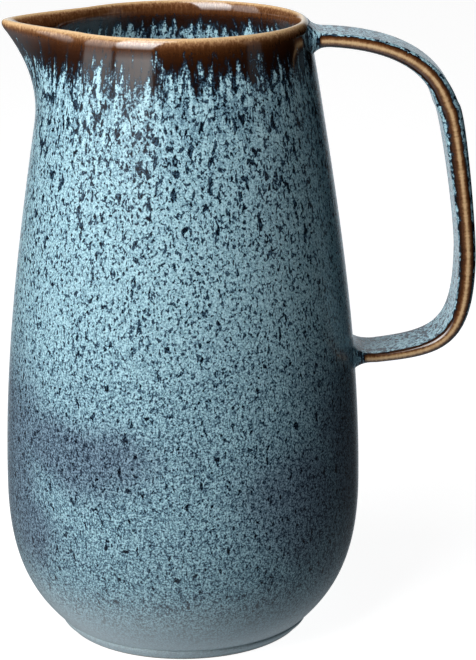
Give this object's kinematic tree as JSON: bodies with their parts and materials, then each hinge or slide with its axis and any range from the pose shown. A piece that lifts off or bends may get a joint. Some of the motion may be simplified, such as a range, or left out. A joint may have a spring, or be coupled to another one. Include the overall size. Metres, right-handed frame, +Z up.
{
  "type": "ceramic pitcher",
  "caption": "Tall fat-bellied ceramic jug with a narrowed neck, a pinched pouring spout, a flat strap handle opposite it and a turned foot ring, open at the top for liquids.",
  "frame": {"origin": "on the table below the middle of the bounding box; the turning axis of the vessel is at x = -0.02125", "axes": "+Z up the vessel, +X towards the handle, -X towards the spout"},
  "size_m": [0.1779, 0.1354, 0.2356],
  "materials": {
    "blue_glaze": "glossy mottled blue glaze that breaks to brown at the rim",
    "foot_glaze": "thin blue-grey glaze, wiped off the face that the pitcher stands on",
    "handle_glaze": "glossy blue-grey glaze that breaks to brown on the edges",
    "joint_glaze": "glossy brown glaze pooled round the root of the handle"
  },
  "bodies": {
    "root": {"body_shell": "blue_glaze", "foot_ring": "foot_glaze", "handle_strap": "handle_glaze", "upper_handle_joint": "joint_glaze", "lower_handle_joint": "joint_glaze"}
  },
  "joints": []
}
